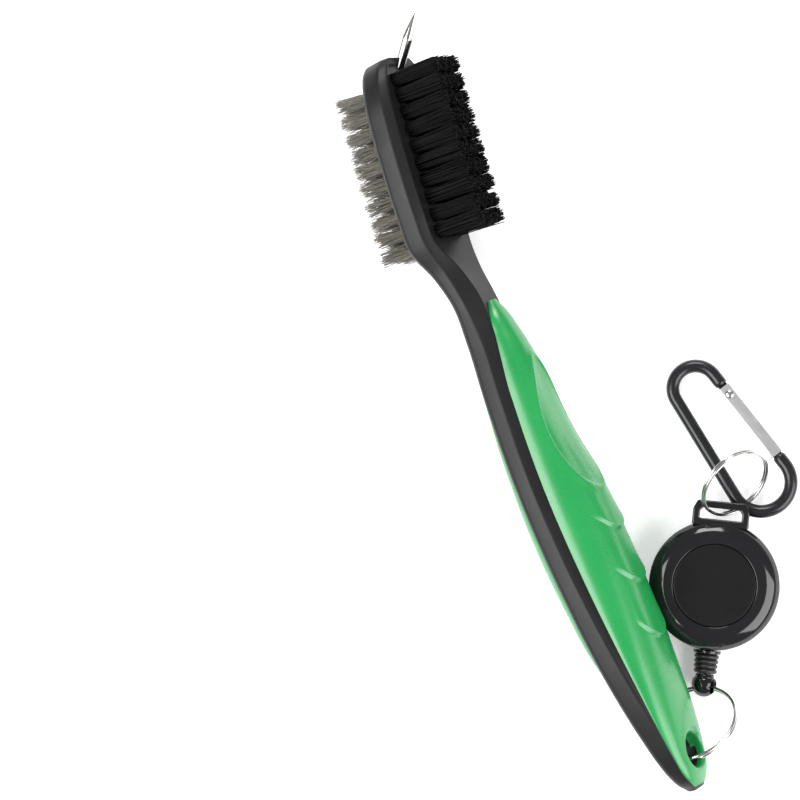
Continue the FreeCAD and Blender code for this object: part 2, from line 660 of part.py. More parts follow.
GATE = CARABINER * Placement(rivet_point, Rotation(Z_AXIS, math.degrees(flare)))
gate_low = size("hinge_along") - size("gate_end")
half_gate = size("gate_width") / 2
SLOT = TONGUE + 0.2
gate_body = new_body("carabiner_gate")
gate_outline = new_sketch(gate_body, "gate_outline", "XY_Plane")
draw_polygon(gate_outline, [(-half_gate, 1.7), (-half_gate + 0.7, 2.4), (half_gate - 0.7, 2.4),
                            (half_gate, 1.7),
                            (half_gate, gate_low), (-half_gate, gate_low)])
pad(gate_body, gate_outline, "sizes.gate_width", "gate_bar", midplane=True)
slots = new_sketch(gate_body, "slot_outlines", "XY_Plane")
draw_polygon(slots, [(-3, -2.6), (3, -2.6), (3, 4), (-3, 4)])
draw_polygon(slots, [(-3, gate_low - 1), (3, gate_low - 1), (3, gate_low + 2.8), (-3, gate_low + 2.8)])
slot_cut = gate_body.newObject("PartDesign::Pocket", "slots")
slot_cut.Profile = slots
slot_cut.Length = SLOT
slot_cut.SideType = "Symmetric"
spring_bore = new_sketch(gate_body, "spring_bore_outline", "XZ_Plane", Vector(0, 0, 2.6))
draw_circle(spring_bore, 0, 0, size("gate_spring_radius") + 0.1)
bore_cut = gate_body.newObject("PartDesign::Pocket", "spring_bore")
bore_cut.Profile = spring_bore
bore_cut.Length = size("gate_spring_length") + 0.8
bore_cut.Reversed = True
rivet_bore = new_sketch(gate_body, "gate_rivet_outline", "XY_Plane")
draw_circle(rivet_bore, 0, 0, size("rivet_radius") + PLAY)
cut_through(gate_body, rivet_bore, "gate_rivet_hole")
finished(gate_body, "carabiner_gate", GATE)

rivet = primitive("Cylinder", "rivet", Radius="sizes.rivet_radius", Height="sizes.gate_width")
finished(rivet, "gate_rivet", CARABINER * Placement(rivet_point - Vector(0, 0, half_gate), Rotation()))
gate_spring = primitive("Cylinder", "spring_rod", Radius="sizes.gate_spring_radius",
                        Height="sizes.gate_spring_length")
finished(gate_spring, "gate_spring", GATE * Placement(Vector(0, -3.0, 0), Rotation(X_AXIS, 90)))


# ---------------------------------------------------------------- check and write
def check_model():
    DOC.recompute()
    for feature in DOC.Objects:
        if "Invalid" in feature.State or "Error" in feature.State:
            raise RuntimeError(f"{feature.Label} is {feature.State}")
    for part in PARTS:
        if part.Shape.isNull() or not part.Shape.isValid():
            raise RuntimeError(f"{part.Label} has no valid shape")


check_model()
os.makedirs("parts", exist_ok=True)
for part in PARTS:
    part.Shape.exportStep(f"parts/{part.Label}.step")
    box = part.Shape.BoundBox
    print(f"{part.Label:20s} {part.Shape.Volume:10.1f} mm3  {len(part.Shape.Solids)} solids  z {box.ZMin:6.2f}")
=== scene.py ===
"""Club groove brush with a retractable reel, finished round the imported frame.

Each new piece is a surface worked out in millimetres in the local frame of the brush, its head, the reel
or the carabiner, and placed in the row frame in metres.  A surface is either a grid of points, a section
carried along a path, or an outline turned about an axis.
"""

import math

import bmesh
import bpy
import numpy as np
from mathutils import Matrix, Vector


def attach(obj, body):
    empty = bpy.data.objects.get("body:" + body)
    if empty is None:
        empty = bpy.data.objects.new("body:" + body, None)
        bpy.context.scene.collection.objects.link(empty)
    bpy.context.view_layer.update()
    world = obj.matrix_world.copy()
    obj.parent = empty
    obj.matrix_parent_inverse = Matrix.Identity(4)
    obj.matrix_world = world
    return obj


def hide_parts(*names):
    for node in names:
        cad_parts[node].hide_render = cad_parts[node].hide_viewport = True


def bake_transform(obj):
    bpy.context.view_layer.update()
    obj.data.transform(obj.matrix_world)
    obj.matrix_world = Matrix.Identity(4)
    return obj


MM = 0.001
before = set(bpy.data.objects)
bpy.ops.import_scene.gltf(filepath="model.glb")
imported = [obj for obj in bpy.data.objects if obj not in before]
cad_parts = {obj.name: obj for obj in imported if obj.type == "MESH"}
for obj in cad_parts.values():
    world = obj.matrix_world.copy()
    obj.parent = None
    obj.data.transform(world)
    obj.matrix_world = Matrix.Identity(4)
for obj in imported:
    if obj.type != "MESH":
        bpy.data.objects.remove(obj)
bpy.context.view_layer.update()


# ---------------------------------------------------------------- local frames, in millimetres
def shift(x, y, z):
    matrix = np.eye(4)
    matrix[:3, 3] = x, y, z
    return matrix


def turn(axis, degrees):
    """Right-handed turn about X, Y or Z."""
    first, second = {"X": (1, 2), "Y": (2, 0), "Z": (0, 1)}[axis]
    matrix = np.eye(4)
    matrix[first, first] = matrix[second, second] = math.cos(math.radians(degrees))
    matrix[second, first] = math.sin(math.radians(degrees))
    matrix[first, second] = -matrix[second, first]
    return matrix


def placed(points, matrix):
    return points @ matrix[:3, :3].T + matrix[:3, 3]


TABLE = shift(-17.28, -101.85, 0)
BRUSH = TABLE @ shift(0, 0, 13.86) @ turn("X", 0.27) @ turn("Y", 90 - 27.04)
HEAD_START, BRUSH_LENGTH, HEAD_BACK, HEAD_DEPTH, HEAD_TILT = 148.5, 195.5, -10.3, 7.6, 6.8
SPIKE_INSET, SPIKE_LEAN = 0.8, 38
HEAD = BRUSH @ shift(0, HEAD_START, HEAD_BACK) @ turn("X", HEAD_TILT)
SPIKE = HEAD @ shift(0, BRUSH_LENGTH - HEAD_START - SPIKE_INSET, HEAD_DEPTH - SPIKE_INSET) @ turn("X", SPIKE_LEAN - 90)
REEL = TABLE @ shift(25.0, 43.7, 0) @ turn("Z", -28)
CORD_LEVEL = 3.6
LINE = REEL @ shift(0, 0, CORD_LEVEL) @ turn("X", 90)
CARABINER = TABLE @ shift(39.79, 91.0, 2.69) @ turn("Z", 12) @ turn("X", -3.9)


def ring_frame(centre, normal, start):
    """A frame at a ring's centre with Z along its normal, its X axis turned to start degrees in the ring's plane."""
    z = np.array(normal) / np.linalg.norm(normal)
    x = np.cross((0, 0, 1), z)
    x /= np.linalg.norm(x)
    matrix = np.eye(4)
    matrix[:3, :3] = np.stack([x, np.cross(z, x), z], axis=1)
    return TABLE @ shift(*centre) @ matrix @ turn("Z", start)


TAIL_RING_MEAN, TOP_RING_MEAN = 11.3, 9.3
TAIL_RING = ring_frame((6.93, 14.54, 10.66), (-0.078, 0.764, 0.640), 60)
TOP_RING = ring_frame((39.37, 65.2, 9.65), (0.458, -1.205, 1.0), 200)


# ---------------------------------------------------------------- surfaces
def smooth(knots, values, at):
    """Cubic through the knots: each knot's slope is that of the parabola through it and its neighbours,
    and each span is the Hermite cubic of its end values and slopes."""
    knots, values, at = (np.asarray(given, float) for given in (knots, values, at))
    slopes = np.gradient(values, knots, axis=0)
    span = np.clip(np.searchsorted(knots, at, side="right") - 1, 0, len(knots) - 2)
    width = (knots[1:] - knots[:-1])[span]
    share = (at - knots[span]) / width
    extra = (1,) * (values.ndim - 1)
    share, width = share.reshape(-1, *extra), width.reshape(-1, *extra)
    rise = share * share * (3 - 2 * share)
    bend_in = share * (1 - share) ** 2
    bend_out = share * share * (share - 1)
    return (values[span] * (1 - rise) + values[span + 1] * rise
            + width * (slopes[span] * bend_in + slopes[span + 1] * bend_out))


def rounded(corners, radius, steps=5, closed=True):
    """Corners of an outline (the last but one axis) replaced by quadratic arcs that start and end a radius
    away from the corner, or at 0.45 of the edge where that is shorter."""
    corners = np.asarray(corners, float)
    before, after = np.roll(corners, 1, axis=-2), np.roll(corners, -1, axis=-2)
    t = np.linspace(0, 1, steps).reshape(-1, 1)

    def towards(other):
        edge = other - corners
        length = np.linalg.norm(edge, axis=-1, keepdims=True)
        return corners + edge * np.minimum(radius / np.maximum(length, 1e-9), 0.45)

    start, end = towards(before)[..., None, :], towards(after)[..., None, :]
    middle = corners[..., None, :]
    arcs = start * (1 - t) ** 2 + middle * 2 * t * (1 - t) + end * t * t
    if not closed:
        arcs[..., 0, :, :] = corners[..., :1, :]
        arcs[..., -1, :, :] = corners[..., -1:, :]
    return arcs.reshape(*corners.shape[:-2], -1, 2)


def grid_faces(rows, columns, wrap_rows=False, wrap_columns=False):
    """Quads between neighbouring points of a grid; a wrapped direction joins its last line to its first."""
    index = np.arange(rows * columns).reshape(rows, columns)
    if wrap_rows:
        index = np.vstack([index, index[:1]])
    if wrap_columns:
        index = np.hstack([index, index[:, :1]])
    return np.stack([index[:-1, :-1], index[1:, :-1], index[1:, 1:], index[:-1, 1:]], axis=-1).reshape(-1, 4)


def lathe(outline, sides=96, closed=True):
    """An outline of (radius, height) points turned about Z: (r cos a, r sin a, z) at even angles a."""
    outline = np.asarray(outline, float)
    angle = np.linspace(0, 2 * math.pi, sides, endpoint=False)
    radius, height = outline[:, :1], outline[:, 1:]
    points = np.stack([radius * np.cos(angle), radius * np.sin(angle), height + 0 * angle], axis=-1)
    return points.reshape(-1, 3), grid_faces(len(outline), sides, closed, True)


def swept(paths, section, reference, scale=None):
    """A closed section of (side, up) points carried along each of many paths.  At each path point the side
    direction is the reference crossed with the path's direction, and up is the direction crossed with side.
    Each tube closes in its path's own end points."""
    paths = np.atleast_3d(np.asarray(paths, float))
    if paths.shape[-1] != 3 or paths.ndim != 3:
        raise ValueError("paths are an (n, steps, 3) array")
    direction = np.gradient(paths, axis=1)
    direction /= np.linalg.norm(direction, axis=-1, keepdims=True)
    side = np.cross(np.broadcast_to(reference, paths.shape), direction)
    side /= np.linalg.norm(side, axis=-1, keepdims=True)
    up = np.cross(direction, side)
    section = np.asarray(section, float)
    scale = np.ones(paths.shape[1]) if scale is None else np.asarray(scale, float)
    reach = (side[:, :, None] * section[:, :1] + up[:, :, None] * section[:, 1:]) * scale[:, None, None]
    points = paths[:, :, None] + reach
    ends = np.repeat(paths[:, :, None], len(section), axis=2)
    points = np.concatenate([ends[:, :1], points, ends[:, -1:]], axis=1)
    count, rows, columns = points.shape[:3]
    faces = grid_faces(rows, columns, False, True)
    offsets = (np.arange(count) * rows * columns)[:, None, None]
    return points.reshape(-1, 3), (faces + offsets).reshape(-1, 4)


def circle(radius, sides):
    """Points of a circle at even angles."""
    angle = np.linspace(0, 2 * math.pi, sides, endpoint=False)
    return np.stack([radius * np.cos(angle), radius * np.sin(angle)], axis=-1)


def mesh_of(name, shells, matrix, sharp=38):
    """One mesh of several (points, faces) shells, placed by the matrix.  Doubled points are merged and the
    faces turned outwards; edges that bend more than sharp degrees stay crisp."""
    points, faces, total = [], [], 0
    for shell_points, shell_faces in shells:
        points.append(shell_points)
        faces.append(shell_faces + total)
        total += len(shell_points)
    points, faces = placed(np.concatenate(points), matrix) * MM, np.concatenate(faces)
    mesh = bpy.data.meshes.new(name)
    mesh.from_pydata(points.tolist(), [], faces.tolist())
    tidy_mesh(mesh, sharp)
    return mesh


def tidy_mesh(mesh, sharp):
    work = bmesh.new()
    work.from_mesh(mesh)
    bmesh.ops.remove_doubles(work, verts=work.verts, dist=2e-7)
    bmesh.ops.dissolve_degenerate(work, edges=work.edges, dist=1e-7)
    bmesh.ops.recalc_face_normals(work, faces=work.faces)
    work.to_mesh(mesh)
    work.free()
    mesh.shade_smooth()
    mesh.set_sharp_from_angle(angle=math.radians(sharp))
    mesh.update()


def piece(name, shells, matrix, body, finish, nodes=(), sharp=38):
    """A new visible piece.  With a body and nodes given it rides on the body and stands for the nodes."""
    thing = bpy.data.objects.new(name, mesh_of(name, shells, matrix, sharp))
    bpy.context.scene.collection.objects.link(thing)
    thing.data.materials.append(finish)
    if body:
        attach(thing, body)
    if nodes:
        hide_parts(*nodes)
    return thing


def cut(thing, tool_shell, matrix, sharp):
    """The piece with a closed tool taken out of it."""
    tool = bpy.data.objects.new("tool", mesh_of("tool", [tool_shell], matrix))
    bpy.context.scene.collection.objects.link(tool)
    modifier = thing.modifiers.new("cut", "BOOLEAN")
    modifier.operation, modifier.solver, modifier.object = "DIFFERENCE", "EXACT", tool
    graph = bpy.context.evaluated_depsgraph_get()
    result = bpy.data.meshes.new_from_object(thing.evaluated_get(graph))
    thing.modifiers.clear()
    thing.data = result
    bpy.data.objects.remove(tool)
    tidy_mesh(result, sharp)


# ---------------------------------------------------------------- finishes
class Wire:
    """A shader output that adds Math nodes when it is used in arithmetic."""

    def __init__(self, finish, socket):
        self.finish, self.socket = finish, socket

    def maths(self, operation, first, second):
        return self.finish.add("ShaderNodeMath", {"operation": operation}, {0: first, 1: second})

    def __add__(self, other):
        return self.maths("ADD", self, other)

    def __sub__(self, other):
        return self.maths("SUBTRACT", self, other)

    def __rsub__(self, other):
        return self.maths("SUBTRACT", other, self)

    def __mul__(self, other):
        return self.maths("MULTIPLY", self, other)

    __radd__, __rmul__ = __add__, __mul__


class Finish:
    """A material: a Principled shader with constants on its own sockets, and nodes that feed it."""

    def __init__(self, name, **constants):
        self.material = bpy.data.materials.new(name)
        self.material.use_nodes = True
        self.tree = self.material.node_tree
        self.shader = self.tree.nodes["Principled BSDF"]
        for label, value in constants.items():
            self.shader.inputs[label.replace("_", " ")].default_value = value
        self.object_place = self.add("ShaderNodeTexCoord", output="Object")

    def add(self, kind, settings=None, inputs=None, output=0):
        """A node: its type, its settings (a ramp's stops among them), and its sockets' values or links."""
        node = self.tree.nodes.new(kind)
        for label, value in (settings or {}).items():
            if label == "stops":
                first, last = value
                node.color_ramp.elements[0].position, node.color_ramp.elements[1].position = first, last
            else:
                setattr(node, label, value)
        for label, value in (inputs or {}).items():
            self.put(value, node.inputs[label])
        return Wire(self, node.outputs[output])

    def put(self, value, socket):
        if isinstance(value, Wire):
            self.tree.links.new(value.socket, socket)
        else:
            socket.default_value = value

    def feed(self, **wires):
        """Sockets of the shader that vary over the surface."""
        for label, wire in wires.items():
            self.put(wire, self.shader.inputs[label.replace("_", " ")])

    def stretched(self, matrix, along=1.0, across=1.0):
        """Object coordinates turned into a local frame, its Y squeezed by along and the others by across."""
        rotation = Matrix(matrix[:3, :3].T.tolist()).to_euler()
        origin = -(matrix[:3, 3] @ matrix[:3, :3]) * MM
        return self.add("ShaderNodeMapping", {"vector_type": "POINT"}, {
            "Vector": self.add("ShaderNodeMapping", {"vector_type": "POINT"}, {
                "Vector": self.object_place, "Rotation": rotation, "Location": origin}, "Vector"),
            "Scale": (across, along, across)}, "Vector")

    def noise(self, scale, detail=2.0, roughness=0.5, place=None):
        """Noise with about scale waves in a millimetre."""
        return self.add("ShaderNodeTexNoise", None, {
            "Vector": place or self.object_place, "Scale": scale / MM, "Detail": detail,
            "Roughness": roughness}, "Fac")

    def ramp(self, wire, first, last):
        """0 below first and 1 above last."""
        return self.add("ShaderNodeValToRGB", {"stops": (first, last)}, {"Fac": wire})

    def mix(self, share, first, second):
        """A colour between two colours."""
        return self.add("ShaderNodeMix", {"data_type": "RGBA"}, {0: share, 6: first, 7: second}, 2)

    def bump(self, height, millimetres, under=None):
        """A normal from a height of 0 to 1 that stands for that many millimetres."""
        inputs = {"Height": height, "Strength": 1.0, "Distance": millimetres * MM}
        if under:
            inputs["Normal"] = under
        return self.add("ShaderNodeBump", None, inputs, "Normal")


def colour(red, green, blue):
    return (red, green, blue, 1.0)


def moulded(name, dark, light, rough, texture_height, texture_scale=2.2, **constants):
    """Moulded plastic or rubber: a slow drift in colour and gloss, a spark-eroded grain, and faint rubbed patches."""
    finish = Finish(name, **constants)
    drift = finish.noise(0.05, 3.0)
    grain = finish.noise(texture_scale, 3.0, 0.6)
    rubbed = finish.ramp(finish.noise(0.12, 5.0, 0.65), 0.52, 0.72)
    finish.feed(Base_Color=finish.mix(drift * 0.7 + grain * 0.3, dark, light),
                Roughness=(drift - 0.5) * 0.10 + (grain - 0.5) * 0.12 - rubbed * 0.06 + rough,
                Normal=finish.bump(grain, texture_height, finish.bump(drift, 0.03)))
    return finish.material


def polished(name, dark, light, rough, scratch_place=None, metallic=0.0):
    """Polished surface: fine random scratches, dust-fine haze and a slow wave in the gloss."""
    finish = Finish(name, Metallic=metallic)
    haze = finish.noise(0.25, 6.0, 0.7)
    place = finish.stretched(scratch_place, 0.08, 1.6) if scratch_place is not None else None
    lines = finish.noise(3.0, 2.0, 0.5, place)
    scratch = finish.ramp(lines, 0.60, 0.74)
    finish.feed(Base_Color=finish.mix(haze * 0.6 + scratch * 0.4, dark, light),
                Roughness=haze * 0.08 + scratch * 0.10 + rough,
                Normal=finish.bump(lines, 0.0025, finish.bump(haze, 0.006)))
    return finish.material


handle_black = moulded("handle_black", colour(0.006, 0.006, 0.0065), colour(0.012, 0.012, 0.013), 0.40, 0.006,
                       Specular_IOR_Level=0.26)
grip_green = moulded("grip_green", colour(0.005, 0.200, 0.042), colour(0.011, 0.270, 0.066), 0.30, 0.003,
                     Specular_IOR_Level=0.55, Coat_Weight=0.25, Coat_Roughness=0.22)
boot_rubber = moulded("boot_rubber", colour(0.009, 0.009, 0.010), colour(0.018, 0.018, 0.019), 0.38, 0.008)
reel_gloss = polished("reel_gloss", colour(0.006, 0.006, 0.007), colour(0.010, 0.010, 0.011), 0.05, REEL)
reel_disc = moulded("reel_disc", colour(0.004, 0.004, 0.0045), colour(0.007, 0.007, 0.0075), 0.30, 0.004,
                    Specular_IOR_Level=0.25)
carabiner_black = polished("carabiner_black", colour(0.010, 0.010, 0.012), colour(0.020, 0.020, 0.022), 0.20,
                           CARABINER, metallic=0.25)
ring_chrome = polished("ring_chrome", colour(0.48, 0.475, 0.46), colour(0.66, 0.655, 0.64), 0.10, metallic=1.0)
spike_steel = polished("spike_steel", colour(0.46, 0.45, 0.43), colour(0.68, 0.67, 0.65), 0.12, metallic=1.0)
gate_aluminium = polished("gate_aluminium", colour(0.74, 0.74, 0.75), colour(0.90, 0.90, 0.91), 0.30, CARABINER,
                          metallic=1.0)
spring_steel = polished("spring_steel", colour(0.40, 0.40, 0.40), colour(0.58, 0.58, 0.57), 0.25, metallic=1.0)
spool_plastic = moulded("spool_plastic", colour(0.50, 0.50, 0.48), colour(0.60, 0.60, 0.57), 0.42, 0.006)


def filament(name, dark, light, rough, streak_scale, **constants):
    """Bundled filaments: each has its own shade, taken from a tuft-wide noise stretched along the filaments."""
    finish = Finish(name, **constants)
    place = finish.stretched(HEAD @ turn("X", 90), 0.12, 1.0)
    streak = finish.noise(streak_scale, 2.0, 0.6, place)
    slow = finish.noise(0.3, 2.0)
    finish.feed(Base_Color=finish.mix(streak * 0.8 + slow * 0.2, dark, light),
                Roughness=streak * 0.16 + rough,
                Normal=finish.bump(streak, 0.02))
    return finish.material


nylon_black = filament("nylon_black", colour(0.0010, 0.0010, 0.0010), colour(0.004, 0.004, 0.0042), 0.45, 2.5,
                       Specular_IOR_Level=0.14)
wire_steel = filament("wire_steel", colour(0.05, 0.046, 0.038), colour(0.42, 0.40, 0.35), 0.30, 3.0, Metallic=0.85)


def braided(name):
    """Braided cord: two crossing sets of strands, each a wave on the piece's own UV map."""
    finish = Finish(name, Roughness=0.75)
    around = finish.add("ShaderNodeTexCoord", output="UV")
    parts = finish.add("ShaderNodeSeparateXYZ", None, {"Vector": around}, "X")
    along = Wire(finish, parts.socket.node.outputs["Y"])
    left = finish.add("ShaderNodeMath", {"operation": "SINE"}, {0: (parts * 8.0 + along) * (2 * math.pi)})
    right = finish.add("ShaderNodeMath", {"operation": "SINE"}, {0: (parts * 8.0 - along) * (2 * math.pi)})
    weave = (left * right) * 0.5 + 0.5
    finish.feed(Base_Color=finish.mix(weave, colour(0.006, 0.006, 0.006), colour(0.022, 0.022, 0.022)),
                Normal=finish.bump(weave, 0.05))
    return finish.material


cord_nylon = braided("cord_nylon")
PLAIN_NODES = {
    "handle_frame": handle_black, "grip_front": grip_green, "grip_back": grip_green, "groove_spike": spike_steel,
    "reel_back_cover": reel_gloss, "reel_front_cover": reel_gloss, "reel_face_disc": reel_disc,
    "reel_screw": spring_steel, "spool": spool_plastic, "wound_cord": cord_nylon, "reel_spring": spring_steel,
    "outlet_bushing": reel_gloss, "strain_boot": boot_rubber, "pull_ball": reel_gloss, "cord_knot": cord_nylon,
    "zip_cord": cord_nylon, "tail_split_ring": ring_chrome, "top_split_ring": ring_chrome,
    "carabiner_body": carabiner_black, "carabiner_gate": gate_aluminium, "gate_rivet": spring_steel,
    "gate_spring": spring_steel,
}
for row in range(1, 5):
    PLAIN_NODES[f"nylon_tufts_row_{row}"] = nylon_black
    PLAIN_NODES[f"wire_tufts_row_{row}"] = wire_steel
for node, finish in PLAIN_NODES.items():
    cad_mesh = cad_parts[node].data
    cad_mesh.materials.clear()
    cad_mesh.materials.append(finish)


# ---------------------------------------------------------------- handle frame
LANYARD_RADIUS, LANYARD_ALONG = 4.2, 9.6
REACH = 30.0                                      # further than the handle is thick
# along, half width, back, top of the side wall, face under the grip, ledge (all in the brush frame)
HANDLE = [
    (0.3, 3.0, 0.6, 3.0, 3.4, 0.3), (2.0, 5.0, 0.0, 3.4, 3.8, 0.3), (5.0, 6.9, -0.7, 3.6, 4.0, 0.3),
    (9.0, 8.4, -1.3, 3.7, 4.1, 0.3), (16.0, 10.0, -2.2, 3.5, 4.0, 0.4), (30.0, 12.0, -3.8, 2.2, 3.2, 1.2),
    (55.0, 13.4, -5.6, 0.0, 1.2, 2.4), (85.0, 12.3, -7.0, -1.7, 0.0, 2.4), (106.0, 9.7, -7.3, -1.9, 0.0, 2.4),
    (122.0, 7.7, -6.8, -1.8, 0.8, 2.6), (132.0, 7.2, -6.8, -2.8, 0.6, 3.0), (140.0, 8.2, -8.2, -3.7, -0.9, 2.8),
]
HEAD_SLOPE = math.tan(math.radians(HEAD_TILT))
HEAD_RISE = HEAD_DEPTH / math.cos(math.radians(HEAD_TILT))
for along, half_width in ((148.5, 10.9), (156.0, 12.1), (166.0, 12.7), (178.0, 12.6), (187.0, 11.7), (191.3, 10.3),
                          (194.2, 8.4), (BRUSH_LENGTH, 6.9)):
    head_back = HEAD_BACK + (along - HEAD_START) * HEAD_SLOPE
    HANDLE.append((along, half_width, head_back, head_back + HEAD_RISE - 1.9, head_back + HEAD_RISE, 1.8))
HANDLE = np.array(HANDLE)


def handle_at(along):
    """The station columns at any distances along, through smooth cubics."""
    return smooth(HANDLE[:, 0], HANDLE[:, 1:], along).T


def handle_frame():
    """Sections across the handle, each an outline of back, bevelled edge, side wall, ledge and face with its
    corners rounded.  On the head the face is sunk by up to 0.45 inside a rim."""
    along = np.concatenate([np.linspace(0.3, 9.0, 26), np.linspace(9.4, 140, 200), np.linspace(140.6, 187, 80),
                            np.linspace(187.3, BRUSH_LENGTH, 28)])
    half, back, wall, face, ledge = handle_at(along)
    bevel = np.minimum(1.2, 0.3 * half)
    rim = half - ledge - 0.55
    on_head = np.clip((along - 147.5) / 4.0, 0, 1) * np.clip((BRUSH_LENGTH - 1.2 - along) / 1.2, 0, 1)
    sunk = 0.45 * on_head * on_head * (3 - 2 * on_head)
    side = [(half - bevel, back), (half, back + bevel), (half, wall), (half - ledge, face), (rim, face),
            (rim - 0.55, face - sunk)]
    corners = np.stack([np.stack(point, axis=-1) for point in side]
                       + [np.stack((-x, z), axis=-1) for x, z in reversed(side)], axis=1)
    outline = rounded(corners, 0.75, 5)
    points = np.stack([outline[..., 0], np.broadcast_to(along[:, None], outline.shape[:2]), outline[..., 1]], axis=-1)
    # each end is eased by rings that shrink towards the outline's centre: (share of the outline, bulge)
    start, end = points[0], points[-1]
    bulge = np.array([0.0, 0.35, 0.0])

    def ring(outline, share, out):
        middle = outline.mean(axis=0)
        return middle + (outline - middle) * share + bulge * out

    first = [ring(start, share, out) for share, out in ((0.0, -1.3), (0.72, -1.2), (0.90, -0.8))]
    last = [ring(end, share, out) for share, out in ((0.95, 0.5), (0.88, 0.8), (0.0, 0.8))]
    points = np.concatenate([np.stack(first), points, np.stack(last)])
    thing = piece("handle", [(points.reshape(-1, 3), grid_faces(len(points), len(start), False, True))],
                  BRUSH, None, handle_black, sharp=50)
    cut(thing, lathe([(0.0, -REACH), (LANYARD_RADIUS, -REACH), (LANYARD_RADIUS, REACH), (0.0, REACH)], 72, False),
        BRUSH @ shift(0, LANYARD_ALONG, 0), 50)
    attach(thing, "brush")
    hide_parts("handle_frame")


handle_frame()


# ---------------------------------------------------------------- grips
# along, crown height, half width as a share of the face
FRONT_CROWN = np.array([
    (0.9, 4.6, 0.9), (4.0, 5.7, 1.0), (9.0, 6.3, 1.0), (16.0, 7.2, 1.0), (30.0, 8.55, 1.0), (50.0, 9.65, 1.0),
    (66.0, 9.8, 1.0), (84.0, 9.1, 1.0), (100.0, 7.4, 1.0), (112.0, 6.2, 1.0), (121.0, 4.7, 0.92),
    (127.0, 3.2, 0.74), (130.0, 2.0, 0.36)])
BACK_CROWN = np.array([
    (22.0, -4.4, 0.3), (27.0, -5.8, 0.7), (36.0, -7.9, 0.95), (52.0, -10.0, 1.0), (70.0, -11.2, 1.0),
    (86.0, -11.0, 1.0), (100.0, -10.0, 1.0), (110.0, -8.9, 0.9), (116.0, -8.0, 0.6), (119.0, -7.3, 0.25)])
SCOOP_ALONG, SCOOP_HALF_LENGTH, SCOOP_HALF_WIDTH, SCOOP_DEPTH = 95.0, 18.0, 6.6, 1.9
RIDGES = (66.0, 52.0, 38.0)


def grip_relief(across, along):
    """How far the front grip's surface is moved out.  The thumb scoop is a dish, depth times (1 - e^2) inside an
    ellipse that narrows towards the head, with a thin raised lip round it.  Each ridge is a curved
    step that fades with e^(-distance / 4) towards the head, and drops within 0.55 mm along an arc that bows
    to the tail."""
    share = (along - SCOOP_ALONG) / SCOOP_HALF_LENGTH
    width = SCOOP_HALF_WIDTH * (1 - 0.35 * np.clip(share, -1, 1))
    e = np.sqrt(share ** 2 + (across / width) ** 2)
    relief = -SCOOP_DEPTH * np.clip(1 - e ** 2, 0, None) ** 0.8 + 0.22 * np.exp(-((e - 1.04) / 0.06) ** 2)
    for middle in RIDGES:
        arc = middle + 4.5 * (across / 6.0) ** 2
        beyond = along - arc
        fade = np.clip(1 - (np.abs(across) / 6.6) ** 4, 0, 1)
        climb = np.exp(-np.clip(beyond, 0, None) / 4.0)
        drop = np.clip(1 + beyond / 0.55, 0, 1)
        relief = relief + 0.95 * fade * climb * drop * drop * (3 - 2 * drop)
    return relief


def grip(name, crown_points, root_of, side, rows, relief=None):
    """A crowned grip: across the handle its height is root + rise * (1 - |v|^2.4)^0.62 for v from -1 to 1, with v
    bunched at the edges, and the underside is flat, 1.2 below the root."""
    along = np.linspace(crown_points[0, 0], crown_points[-1, 0], rows)
    crown, share = smooth(crown_points[:, 0], crown_points[:, 1:], along).T
    half, back, wall, face, ledge = handle_at(along)
    half, root = root_of(half, back, face, ledge)
    half = half * share
    v = np.sin(np.linspace(-math.pi / 2, math.pi / 2, 90))
    across = half[:, None] * v
    arch = np.clip(1 - np.abs(v) ** 2.4, 0, 1) ** 0.62
    height = root[:, None] + (crown - root)[:, None] * arch
    if relief:
        height = height + relief(across, along[:, None]) * np.clip(arch * 1.6, 0, 1)
    top = np.stack([across, np.broadcast_to(along[:, None], across.shape), height], axis=-1)
    under = top[:, ::-1].copy()
    under[..., 2] = root[:, None] - side * 1.2
    ring = np.concatenate([top, under], axis=1)
    ends = [np.repeat(ring[index].mean(axis=0)[None], ring.shape[1], 0) for index in (0, -1)]
    ring = np.concatenate([ends[0][None], ring, ends[1][None]])
    return piece(name, [(ring.reshape(-1, 3), grid_faces(ring.shape[0], ring.shape[1], False, True))],
                 BRUSH, None, grip_green, sharp=50)


front = grip("grip_face", FRONT_CROWN, lambda half, back, face, ledge: (half - ledge, face - 0.05), 1, 620,
             grip_relief)
# the hole's tool widens in a quarter round of 1.3 where it leaves the crown
LIP = [(LANYARD_RADIUS + 1.3 * (1 - math.cos(turned)), 5.0 + 1.3 * math.sin(turned))
       for turned in np.linspace(0, math.pi / 2, 9)]
cut(front, lathe([(0.0, -REACH), (LANYARD_RADIUS, -REACH)] + LIP + [(LIP[-1][0], REACH), (0.0, REACH)], 72, False),
    BRUSH @ shift(0, LANYARD_ALONG, 0) @ turn("X", 5), 50)
back = grip("grip_rear", BACK_CROWN, lambda half, back, face, ledge: (half - 2.0, back + 0.05), -1, 220)
for thing, node in ((front, "grip_front"), (back, "grip_back")):
    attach(thing, "brush")
    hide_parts(node)


# ---------------------------------------------------------------- tufts
ROW_PITCH, TUFTS = 3.4, 10
rng = np.random.default_rng(7)


